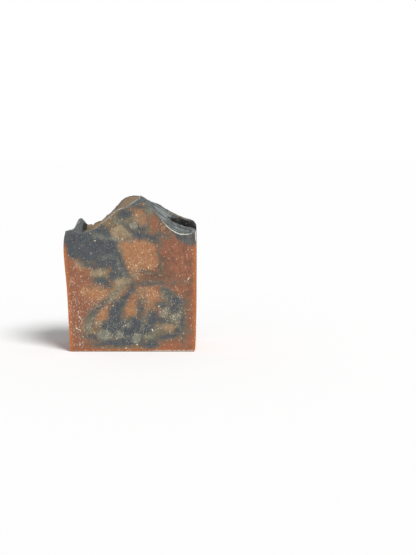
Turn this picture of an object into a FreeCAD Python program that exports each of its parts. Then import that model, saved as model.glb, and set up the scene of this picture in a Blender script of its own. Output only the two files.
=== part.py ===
import FreeCAD, Part
import Sketcher
import os
from FreeCAD import Placement, Rotation, Vector

# A bar of handmade soap, cut from a poured loaf and stood on its base.
# +X is to the right and +Z is up. The front cut face looks towards -Y.
# The origin is at the middle of the base.
# Both cut faces are flat. The sides and the base took the shape of the loaf mould.
# The top was worked with a spoon while it was soft. That left a crest along the loaf, a rim along each side,
# scoops with sharp edges at the right, and folds whose lips hang over to the left.
# All lengths are in millimetres.

doc = FreeCAD.newDocument("soap_bar")
sheet = doc.addObject("Spreadsheet::Sheet", "Sizes")

# The loaf mould and the cut. The left side leans in towards the base and bulges below the shoulder,
# and the right side is nearly straight. An inset is how far a control point lies inside half the width.
# The crest's place is measured from the middle of the bar to the right.
SIZES = {
    "bar_width": 70.0,
    "bar_thickness": 27.0,
    "shoulder_height": 65.0,
    "base_corner_radius": 1.3,
    "base_trim": 2.0,
    "left_base_inset": 2.3,
    "left_waist_inset": 1.7,
    "left_bulge_inset": -0.94,
    "left_corner_inset": 1.2,
    "right_base_inset": 0.7,
    "right_waist_inset": 0.1,
    "right_bulge_inset": -0.08,
    "right_corner_inset": 0.2,
    "bulge_below_shoulder": 7.0,
    "left_rim_width": 5.0,
    "right_rim_width": 7.5,
    "rim_edge_width": 0.9,
    "crevice_width": 3.6,
    "crest_place": 4.5,
    "crest_width": 8.0,
    "fold_lip_width": 0.6,
    "fold_lip_root": 3.0,
    "fold_back_width": 3.0,
    "fold_back_root": 1.5,
    "slope_fold_back_width": 2.2,
    "slope_fold_back_root": 2.2,
}

# The worked top at three depths: control points from left to right, as their rise above the shoulder
TOP_RISES = {
    "front": {
        "left_corner": -0.7,
        "left_edge": 1.0,
        "left_rim": 0.8,
        "left_crevice": -1.5,
        "left_foot": -0.4,
        "left_slope": 2.6,
        "left_flank": 7.4,
        "left_shoulder": 12.1,
        "crest_left": 12.2,
        "crest_middle": 14.4,
        "crest_right": 15.2,
        "right_shoulder": 10.2,
        "right_flank": 3.8,
        "right_slope": -0.3,
        "right_foot": -2.6,
        "right_rim": -1.1,
        "right_corner": 0.1,
    },
    "middle": {
        "left_corner": -1.2,
        "left_edge": 0.6,
        "left_rim": 2.0,
        "left_crevice": -2.4,
        "left_foot": -0.8,
        "left_slope": 2.8,
        "left_flank": 7.9,
        "left_shoulder": 13.0,
        "crest_left": 13.6,
        "crest_middle": 15.0,
        "crest_right": 14.6,
        "right_shoulder": 8.8,
        "right_flank": 5.2,
        "right_slope": 2.6,
        "right_foot": 0.9,
        "right_rim": 0.4,
        "right_corner": -1.0,
    },
    "back": {
        "left_corner": -2.6,
        "left_edge": -1.2,
        "left_rim": 6.6,
        "left_crevice": 0.1,
        "left_foot": 1.7,
        "left_slope": 4.0,
        "left_flank": 10.8,
        "left_shoulder": 16.0,
        "crest_left": 17.0,
        "crest_middle": 16.6,
        "crest_right": 13.9,
        "right_shoulder": 12.2,
        "right_flank": 8.9,
        "right_slope": 6.2,
        "right_foot": 4.3,
        "right_rim": 3.5,
        "right_corner": 0.3,
    },
}

# Where the spoon scooped the top. Each scoop is a part of an egg shape whose middle lies above the surface.
# The middle is placed from the right side or the crest, from the back face, and up from the shoulder.
# The tilt turns the right end down, in degrees.
SCOOPS = {
    "right_hollow": {
        "from_right": 5.5,
        "from_back": 9.0,
        "rise": 3.4,
        "length": 18.0,
        "breadth": 10.0,
        "height": 17.0,
        "tilt": 0.0,
    },
    "fin_crevice": {
        "from_crest": -29.5,
        "from_back": 1.0,
        "rise": 5.6,
        "length": 7.0,
        "breadth": 24.0,
        "height": 12.5,
        "tilt": -14.0,
    },
}

# Folds that run from the front to the back, with lips that look to the left. At each depth a fold has
# a three-sided outline, and this is the place of its top edge: from the crest and up from the shoulder.
# Where a fold fades out, that edge lies below the surface.
FOLDS = {
    "crest_fold": {
        "front": {"from_crest": -13.0, "rise": 9.5},
        "middle": {"from_crest": -2.5, "rise": 14.6},
        "back": {"from_crest": -0.6, "rise": 16.7},
    },
    "flank_fold": {
        "front": {"from_crest": -19.5, "rise": 4.1},
        "middle": {"from_crest": -13.5, "rise": 9.9},
        "back": {"from_crest": -8.5, "rise": 14.2},
    },
    "valley_fold": {
        "front": {"from_crest": -29.5, "rise": -2.0},
        "middle": {"from_crest": -22.5, "rise": 2.1},
        "back": {"from_crest": -18.0, "rise": 7.4},
    },
}

# Folds that run down the right slope, away from the crest. Their outlines stand across the fold.
SLOPE_FOLDS = {
    "petal_fold": {
        "start": {"from_crest": 3.5, "from_front": 5.5, "rise": 13.2},
        "middle": {"from_crest": 16.5, "from_front": 11.3, "rise": 4.2},
        "end": {"from_crest": 29.5, "from_front": 12.5, "rise": -0.9},
    },
    "streak_fold": {
        "start": {"from_crest": 5.5, "from_front": 3.0, "rise": 12.4},
        "middle": {"from_crest": 15.5, "from_front": 5.0, "rise": 3.6},
        "end": {"from_crest": 28.5, "from_front": 6.0, "rise": -1.6},
    },
    "rear_fold": {
        "start": {"from_crest": 8.5, "from_front": 24.4, "rise": 10.9},
        "middle": {"from_crest": 18.5, "from_front": 23.7, "rise": 6.2},
        "end": {"from_crest": 28.5, "from_front": 23.3, "rise": 0.6},
    },
}

# Which way the lip of each slope fold looks: 1 to the back and -1 to the front
LIP_SIDES = {"petal_fold": 1, "streak_fold": 1, "rear_fold": -1}

sizes = dict(SIZES)
for section, rises in TOP_RISES.items():
    sizes.update({f"{section}_{place}_rise": rise for place, rise in rises.items()})
for scoop_name, scoop_sizes in SCOOPS.items():
    sizes.update({f"{scoop_name}_{size_name}": number for size_name, number in scoop_sizes.items()})
for fold_name, fold in (FOLDS | SLOPE_FOLDS).items():
    for station, edge in fold.items():
        sizes.update({f"{fold_name}_{station}_{size_name}": number for size_name, number in edge.items()})
for row, (alias, number) in enumerate(sizes.items(), 1):
    sheet.set(f"A{row}", alias)
    sheet.set(f"B{row}", str(number))
    sheet.setAlias(f"B{row}", alias)
doc.recompute()
body = doc.addObject("PartDesign::Body", "soap_bar")
body.Label = "soap_bar"

# How far back each of the three depths lies
DEPTHS = {
    "front": "-Sizes.bar_thickness / 2",
    "middle": "0 mm",
    "back": "Sizes.bar_thickness / 2",
}


def origin_plane(role):
    """One of the body's own origin planes."""
    return next(feature for feature in body.Origin.OriginFeatures if feature.Role == role)


def pin(sketch, geometry, point, across, up):
    """Ties one point of a sketch to the sheet. across and up are expressions."""
    here = sketch.getPoint(geometry, point)
    for kind, expression, now in (("DistanceX", across, here.x), ("DistanceY", up, here.y)):
        constraint = sketch.addConstraint(Sketcher.Constraint(kind, -1, 1, geometry, point, now))
        sketch.setExpression(f"Constraints[{constraint}]", expression)


def add_spline(sketch, places):
    """A cubic spline whose control points follow the sheet. places holds x, z and their expressions."""
    points = [Vector(x, z, 0) for x, z, _, _ in places]
    spline = sketch.addGeometry(Part.BSplineCurve(points, None, None, False, 3, None, False), False)
    first_pole = sketch.GeometryCount
    sketch.exposeInternalGeometry(spline)
    for index, (_, _, across, up) in enumerate(places):
        pin(sketch, first_pole + index, 3, across, up)
    return spline


def side_places(side):
    """Control points of one side from the base up, without the corner that it shares with the top."""
    sign = {"left": -1, "right": 1}[side]
    shoulder = sizes["shoulder_height"]
    bulge = shoulder - sizes["bulge_below_shoulder"]
    bulge_up = "(Sizes.shoulder_height - Sizes.bulge_below_shoulder)"
    rows = [
        ("base", -sizes["base_trim"], "-Sizes.base_trim"),
        ("waist", bulge / 3, f"{bulge_up} / 3"),
        ("waist", bulge * 2 / 3, f"{bulge_up} * 2 / 3"),
        ("bulge", bulge, bulge_up),
    ]
    places = []
    for name, height, up in rows:
        alias = f"{side}_{name}_inset"
        across = f"{sign} * (Sizes.bar_width / 2 - Sizes.{alias})"
        places.append((sign * (sizes["bar_width"] / 2 - sizes[alias]), height, across, up))
    return places


def top_places(section):
    """Control points of the top from the left corner to the right corner."""
    half = sizes["bar_width"] / 2
    half_up = "Sizes.bar_width / 2"
    left_inner = -half + sizes["left_rim_width"] + sizes["crevice_width"]
    left_inner_up = f"(-{half_up} + Sizes.left_rim_width + Sizes.crevice_width)"
    crest_left = sizes["crest_place"] - sizes["crest_width"] / 2
    crest_left_up = "(Sizes.crest_place - Sizes.crest_width / 2)"
    crest_right = sizes["crest_place"] + sizes["crest_width"] / 2
    crest_right_up = "(Sizes.crest_place + Sizes.crest_width / 2)"
    right_inner = half - sizes["right_rim_width"]
    right_inner_up = f"({half_up} - Sizes.right_rim_width)"
    left_corner = -half + sizes["left_corner_inset"]
    left_corner_up = f"-{half_up} + Sizes.left_corner_inset"
    right_corner = half - sizes["right_corner_inset"]
    right_corner_up = f"{half_up} - Sizes.right_corner_inset"

    across = {
        "left_corner": (left_corner, left_corner_up),
        "left_edge": (
            left_corner + sizes["rim_edge_width"],
            f"{left_corner_up} + Sizes.rim_edge_width",
        ),
        "left_rim": (-half + sizes["left_rim_width"], f"-{half_up} + Sizes.left_rim_width"),
        "left_crevice": (left_inner, left_inner_up),
    }
    for step, name in enumerate(("left_foot", "left_slope", "left_flank", "left_shoulder"), 1):
        place = left_inner + (crest_left - left_inner) * step / 5
        across[name] = (place, f"{left_inner_up} + ({crest_left_up} - {left_inner_up}) * {step} / 5")
    across["crest_left"] = (crest_left, crest_left_up)
    across["crest_middle"] = (sizes["crest_place"], "Sizes.crest_place")
    across["crest_right"] = (crest_right, crest_right_up)
    for step, name in enumerate(("right_shoulder", "right_flank", "right_slope", "right_foot"), 1):
        place = crest_right + (right_inner - crest_right) * step / 4
        across[name] = (place, f"{crest_right_up} + ({right_inner_up} - {crest_right_up}) * {step} / 4")
    across["right_rim"] = (
        right_corner - sizes["rim_edge_width"],
        f"{right_corner_up} - Sizes.rim_edge_width",
    )
    across["right_corner"] = (right_corner, right_corner_up)

    places = []
    for name in TOP_RISES[section]:
        alias = f"{section}_{name}_rise"
        place, place_up = across[name]
        height = sizes["shoulder_height"] + sizes[alias]
        places.append((place, height, place_up, f"Sizes.shoulder_height + Sizes.{alias}"))
    return places


def upright_sketch(name, section):
    """A sketch that stands across the bar at one of its three depths."""
    sketch = body.newObject("Sketcher::SketchObject", name)
    sketch.AttachmentSupport = [(origin_plane("XZ_Plane"), "")]
    sketch.MapMode = "FlatFace"
    sketch.setExpression("AttachmentOffset.Base.z", f"-({DEPTHS[section]})")
    return sketch


def add_section(section):
    """The outline of the bar at one depth: base line, two sides and worked top."""
    sketch = upright_sketch(f"{section}_outline", section)
    top = top_places(section)
    left = side_places("left") + [top[0]]
    right = side_places("right") + [top[-1]]
    add_spline(sketch, left)
    add_spline(sketch, top)
    add_spline(sketch, right)
    base = sketch.addGeometry(Part.LineSegment(Vector(*left[0][:2], 0), Vector(*right[0][:2], 0)), False)
    pin(sketch, base, 1, left[0][2], left[0][3])
    pin(sketch, base, 2, right[0][2], right[0][3])
    return sketch


outlines = [add_section(section) for section in DEPTHS]
doc.recompute()

loaf_slice = body.newObject("PartDesign::AdditiveLoft", "loaf_slice")
loaf_slice.Profile = outlines[0]
loaf_slice.Sections = outlines[1:]
loaf_slice.Ruled = False
doc.recompute()

# The outlines run on below the base, and what lies under the mould's flat floor is cut away
under_floor = body.newObject("PartDesign::SubtractiveBox", "mould_floor")
under_floor.setExpression("Length", "Sizes.bar_width * 2")
under_floor.setExpression("Width", "Sizes.bar_thickness * 2")
under_floor.setExpression("Height", "Sizes.base_trim * 2")
under_floor.setExpression("Placement.Base.x", "-Sizes.bar_width")
under_floor.setExpression("Placement.Base.y", "-Sizes.bar_thickness")
under_floor.setExpression("Placement.Base.z", "-Sizes.base_trim * 2")
doc.recompute()


def draw_fold(sketch, edge, side, back):
    """A fold's outline: its top edge, the foot of its steep lip on one side and its foot on the other."""
    place, up, place_now, up_now = edge
    corners = [(place_now, up_now, place, up)]
    for sign, foot in ((side, "fold_lip"), (-side, back)):
        across_now = place_now + sign * sizes[f"{foot}_width"]
        down_now = up_now - sizes[f"{foot}_root"]
        across = f"{place} + {sign} * Sizes.{foot}_width"
        corners.append((across_now, down_now, across, f"{up} - Sizes.{foot}_root"))
    for start, end in zip(corners, corners[1:] + corners[:1]):
        line = sketch.addGeometry(Part.LineSegment(Vector(*start[:2], 0), Vector(*end[:2], 0)), False)
        pin(sketch, line, 1, *start[2:])
        pin(sketch, line, 2, *end[2:])


def fold_rise(name, station):
    """How high the top edge of a fold lies, as an expression and as a number."""
    alias = f"{name}_{station}_rise"
    return f"Sizes.shoulder_height + Sizes.{alias}", sizes["shoulder_height"] + sizes[alias]


def fold_across_bar(name, section):
    """The outline of a fold that runs from the front to the back, at one depth."""
    sketch = upright_sketch(f"{name}_{section}", section)
    alias = f"{name}_{section}_from_crest"
    up, up_now = fold_rise(name, section)
    place_now = sizes["crest_place"] + sizes[alias]
    draw_fold(sketch, (f"Sizes.crest_place + Sizes.{alias}", up, place_now, up_now), -1, "fold_back")
    return sketch


def fold_down_slope(name, station):
    """The outline of a fold that runs down the right slope, at one place along the bar's width."""
    sketch = body.newObject("Sketcher::SketchObject", f"{name}_{station}")
    sketch.AttachmentSupport = [(origin_plane("YZ_Plane"), "")]
    sketch.MapMode = "FlatFace"
    edge = f"{name}_{station}"
    sketch.setExpression("AttachmentOffset.Base.z", f"Sizes.crest_place + Sizes.{edge}_from_crest")
    up, up_now = fold_rise(name, station)
    place_now = sizes[f"{edge}_from_front"] - sizes["bar_thickness"] / 2
    place = f"Sizes.{edge}_from_front - Sizes.bar_thickness / 2"
    draw_fold(sketch, (place, up, place_now, up_now), LIP_SIDES[name], "slope_fold_back")
    return sketch


def add_fold(name, fold_outlines):
    """A fold that joins its outlines in one smooth run."""
    doc.recompute()
    fold = body.newObject("PartDesign::AdditiveLoft", name)
    fold.Profile = fold_outlines[0]
    fold.Sections = fold_outlines[1:]
    fold.Ruled = False
    doc.recompute()


for fold_name in FOLDS:
    add_fold(fold_name, [fold_across_bar(fold_name, section) for section in DEPTHS])
for fold_name, fold in SLOPE_FOLDS.items():
    add_fold(fold_name, [fold_down_slope(fold_name, station) for station in fold])


def add_scoop(name):
    """An egg shape cut out of the top."""
    across = f"Sizes.crest_place + Sizes.{name}_from_crest"
    if "from_right" in SCOOPS[name]:
        across = f"Sizes.bar_width / 2 - Sizes.{name}_from_right"
    scoop = body.newObject("PartDesign::SubtractiveEllipsoid", name)
    scoop.setExpression("Radius1", f"Sizes.{name}_height / 2")
    scoop.setExpression("Radius2", f"Sizes.{name}_length / 2")
    scoop.setExpression("Radius3", f"Sizes.{name}_breadth / 2")
    scoop.Placement = Placement(Vector(0, 0, 0), Rotation(Vector(0, 1, 0), 1))
    scoop.setExpression("Placement.Rotation.Angle", f"Sizes.{name}_tilt * 1 deg")
    scoop.setExpression("Placement.Base.x", across)
    scoop.setExpression("Placement.Base.y", f"Sizes.bar_thickness / 2 - Sizes.{name}_from_back")
    scoop.setExpression("Placement.Base.z", f"Sizes.shoulder_height + Sizes.{name}_rise")
    doc.recompute()
    return scoop


for scoop_name in SCOOPS:
    worked_top = add_scoop(scoop_name)


def base_corners(feature):
    """The two long edges of the base, which run from the front face to the back face."""
    names = []
    for index, edge in enumerate(feature.Shape.Edges, 1):
        box = edge.BoundBox
        if box.ZMax < 0.01 and box.YLength > box.XLength:
            names.append(f"Edge{index}")
    return names


rounded = body.newObject("PartDesign::Fillet", "base_corners")
rounded.Base = (worked_top, base_corners(worked_top))
rounded.setExpression("Radius", "Sizes.base_corner_radius")
doc.recompute()
body.Placement = Placement(Vector(0, 0, 0), Rotation())
doc.recompute()

for item in doc.Objects:
    if "Invalid" in item.State or "Error" in item.State:
        raise RuntimeError(f"{item.Name} failed: {item.State}")
shape = body.Shape
if shape.isNull() or not shape.isValid() or len(shape.Solids) != 1:
    raise RuntimeError("the bar is not one valid solid")

box = shape.optimalBoundingBox(False, False)
print(f"bar: {box.XLength:.2f} x {box.YLength:.2f} x {box.ZLength:.2f} mm")
print(f"x from {box.XMin:.2f} to {box.XMax:.2f}, z from {box.ZMin:.2f}, volume {shape.Volume / 1000:.1f} cm3")
os.makedirs("parts", exist_ok=True)
shape.exportStep(f"parts/{body.Label}.step")
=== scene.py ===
import math

import bmesh
import bpy
import numpy as np
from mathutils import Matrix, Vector, noise
from mathutils.bvhtree import BVHTree


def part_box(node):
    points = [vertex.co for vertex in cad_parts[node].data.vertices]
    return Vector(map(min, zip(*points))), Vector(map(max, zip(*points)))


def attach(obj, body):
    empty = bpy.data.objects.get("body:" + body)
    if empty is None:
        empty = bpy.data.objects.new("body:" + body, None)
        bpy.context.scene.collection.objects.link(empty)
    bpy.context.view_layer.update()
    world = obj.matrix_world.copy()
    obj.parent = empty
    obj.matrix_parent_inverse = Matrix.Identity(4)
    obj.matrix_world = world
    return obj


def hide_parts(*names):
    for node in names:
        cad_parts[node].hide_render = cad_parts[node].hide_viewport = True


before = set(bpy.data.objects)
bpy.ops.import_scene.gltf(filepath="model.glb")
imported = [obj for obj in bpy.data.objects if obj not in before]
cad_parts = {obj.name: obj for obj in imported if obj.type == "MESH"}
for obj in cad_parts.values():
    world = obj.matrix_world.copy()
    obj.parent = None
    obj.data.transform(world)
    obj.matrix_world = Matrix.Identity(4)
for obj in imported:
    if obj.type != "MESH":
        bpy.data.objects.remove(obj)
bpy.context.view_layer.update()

mm = 0.001
cadLow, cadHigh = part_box("soap_bar")
frontY = cadLow.y / mm
backY = cadHigh.y / mm
print("frame loaded, the bar is", [round(v / mm, 1) for v in cadHigh - cadLow], "mm")


def srgb(red, green, blue):
    # a colour read as 0 to 255, as the renderer wants it
    def linear(value):
        value = value / 255
        return value / 12.92 if value <= 0.04045 else ((value + 0.055) / 1.055) ** 2.4
    return (linear(red), linear(green), linear(blue), 1.0)


# camera: the photograph's own place, found from the bar's edges and its base line
cameraSet = {
    "place": (41.2 * mm, -488.5 * mm, 114.0 * mm),
    "tiltDown": 8.83,  # degrees
    "lens": 58.9,  # on a 36 mm sensor
}
cameraData = bpy.data.cameras.new("photoCamera")
cameraData.lens = cameraSet["lens"]
cameraData.sensor_width = 36.0
cameraData.clip_start = 0.01
cameraData.clip_end = 20.0
camera = bpy.data.objects.new("photoCamera", cameraData)
camera.location = cameraSet["place"]
camera.rotation_euler = (math.radians(90 - cameraSet["tiltDown"]), 0, 0)
bpy.context.scene.collection.objects.link(camera)
bpy.context.scene.camera = camera
bpy.context.scene.view_settings.view_transform = "Standard"
print("camera set")


# node helpers
def feed(tree, socket, value):
    if isinstance(value, bpy.types.NodeSocket):
        tree.links.new(value, socket)
    else:
        socket.default_value = value


def put(tree, kind, values=None, **settings):
    # one node, its settings, and plain values or links for its inputs
    node = tree.nodes.new(kind)
    for name, value in settings.items():
        setattr(node, name, value)
    for key, value in (values or {}).items():
        feed(tree, node.inputs[key], value)
    return node


def calc(tree, operation, first, second=0.0, third=0.0):
    return put(tree, "ShaderNodeMath", {0: first, 1: second, 2: third}, operation=operation).outputs[0]


def blendColour(tree, amount, under, over, mode="MIX"):
    node = put(tree, "ShaderNodeMix", data_type="RGBA", blend_type=mode)
    feed(tree, node.inputs[0], amount)
    feed(tree, node.inputs[6], under)
    feed(tree, node.inputs[7], over)
    return node.outputs[2]


def ramp(tree, value, low, high, toLow=0.0, toHigh=1.0, smooth=True):
    node = put(tree, "ShaderNodeMapRange", {0: value, 1: low, 2: high, 3: toLow, 4: toHigh})
    node.interpolation_type = "SMOOTHSTEP" if smooth else "LINEAR"
    return node.outputs[0]


def speckle(tree, place, scale, detail=3.0, roughness=0.55, distortion=0.0):
    # noise, from 0 to 1
    values = {
        "Vector": place, "Scale": scale, "Detail": detail, "Roughness": roughness, "Distortion": distortion,
    }
    return put(tree, "ShaderNodeTexNoise", values).outputs["Fac"]


def calcVector(tree, operation, first, second):
    return put(tree, "ShaderNodeVectorMath", {0: first, 1: second}, operation=operation).outputs[0]


def scaleVector(tree, vector, amount):
    return put(tree, "ShaderNodeVectorMath", {0: vector, "Scale": amount}, operation="SCALE").outputs[0]


def brokenEdge(tree, mask, grit, amount, shift):
    # a mask whose edge is broken up by noise
    return calc(tree, "ADD", mask, calc(tree, "MULTIPLY_ADD", grit, amount, shift))


def addBump(tree, shader, height, strength, distance):
    bump = put(tree, "ShaderNodeBump", {"Strength": strength, "Distance": distance, "Height": height})
    tree.links.new(bump.outputs[0], shader.inputs["Normal"])


def newGroup(name, inputs, outputs):
    group = bpy.data.node_groups.new(name, "ShaderNodeTree")
    for label, kind, value in inputs:
        socket = group.interface.new_socket(label, in_out="INPUT", socket_type=kind)
        if value is not None:
            socket.default_value = value
    for label, kind in outputs:
        group.interface.new_socket(label, in_out="OUTPUT", socket_type=kind)
    return group, group.nodes.new("NodeGroupInput").outputs, group.nodes.new("NodeGroupOutput").inputs


def useGroup(tree, group, values):
    node = tree.nodes.new("ShaderNodeGroup")
    node.node_tree = group
    for key, value in values.items():
        feed(tree, node.inputs[key], value)
    return node.outputs


def attribute(tree, name):
    return put(tree, "ShaderNodeAttribute", attribute_name=name).outputs


def newMaterial(name, settings):
    material = bpy.data.materials.new(name)
    material.use_nodes = True
    tree = material.node_tree
    shader = tree.nodes["Principled BSDF"]
    for key, value in settings.items():
        shader.inputs[key].default_value = value
    return material, tree, shader


# soap colours, as the batter was tinted, and a near black for painted shade; frost and bone also carry painted
# highlight
batter = {
    "terracotta": srgb(156, 101, 75),
    "deepTerracotta": srgb(130, 88, 68),
    "rust": srgb(158, 98, 68),
    "orange": srgb(167, 113, 77),
    "apricot": srgb(174, 128, 90),
    "rind": srgb(190, 112, 56),
    "tan": srgb(150, 126, 97),
    "paleTan": srgb(166, 150, 122),
    "ochre": srgb(128, 101, 64),
    "olive": srgb(116, 109, 90),
    "paleOlive": srgb(140, 138, 121),
    "sage": srgb(124, 124, 112),
    # also the painted highlight along the fold lips
    "frostAndHighlight": srgb(186, 192, 188),
    "soot": srgb(70, 73, 71),
    "brown": srgb(104, 79, 63),
    "smoke": srgb(100, 101, 97),
    "slate": srgb(82, 86, 89),
    "charcoal": srgb(66, 71, 77),
    "char": srgb(71, 68, 62),
    "steel": srgb(94, 101, 101),
    "paleSteel": srgb(140, 146, 145),
    # bone: pale burr, and painted highlight along the rims
    "cream": srgb(232, 216, 190),
    "bone": srgb(226, 224, 212),
    "honey": srgb(158, 124, 74),
    "umber": srgb(136, 102, 78),
    # painted shade: near black for the shaded hollow and crevices of the top
    "shadeBlack": srgb(20, 18, 16),
}

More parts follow.
